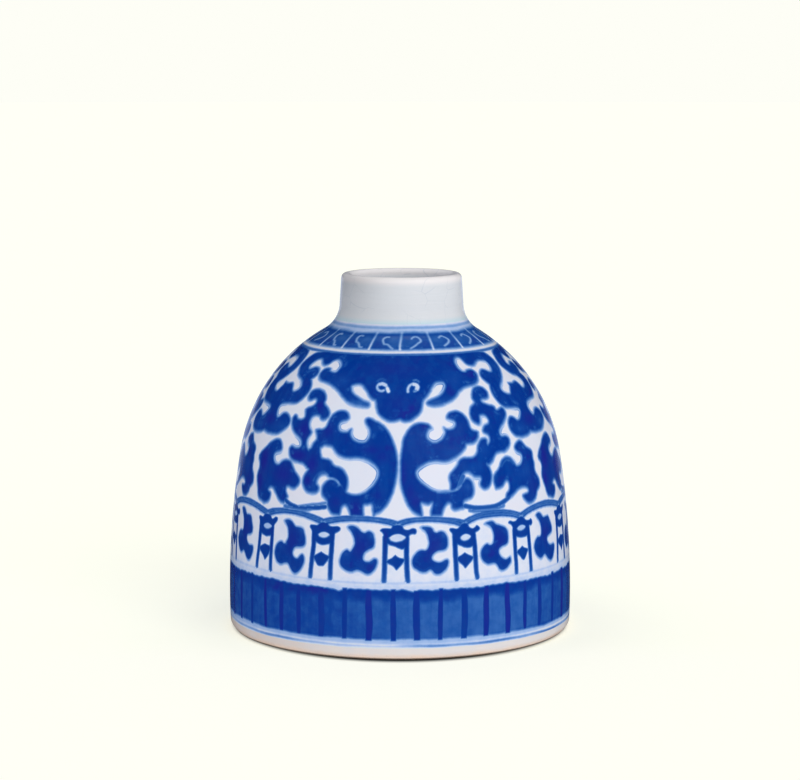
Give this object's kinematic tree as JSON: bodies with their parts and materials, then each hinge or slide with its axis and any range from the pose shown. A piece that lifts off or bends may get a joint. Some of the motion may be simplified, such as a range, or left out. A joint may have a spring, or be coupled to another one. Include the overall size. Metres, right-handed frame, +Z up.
{
  "type": "water pot",
  "caption": "Beehive-shaped porcelain water pot for the writing desk, with a short neck, a rounded lip and a low foot, painted in underglaze blue bands.",
  "frame": {"origin": "middle of the flat tread that the foot stands on, on the pot's own axis", "axes": "+Z up along the pot's axis through the mouth; -Y towards the painted beast mask that faces the viewer; +X to the viewer's right"},
  "size_m": [0.09, 0.09, 0.0929],
  "materials": {
    "painted_glaze": "clear glossy glaze over cobalt blue painting on a white porcelain ground",
    "plain_glaze": "clear glossy glaze over white porcelain, faintly blue, with fine crazing",
    "bare_foot": "unglazed buff biscuit, smoothed on the wheel, with a glaze edge above it"
  },
  "bodies": {
    "root": {"foot_ring": "bare_foot", "base_disc": "plain_glaze", "lower_wall": "painted_glaze", "dome_wall": "painted_glaze", "neck_collar": "plain_glaze"}
  },
  "joints": []
}
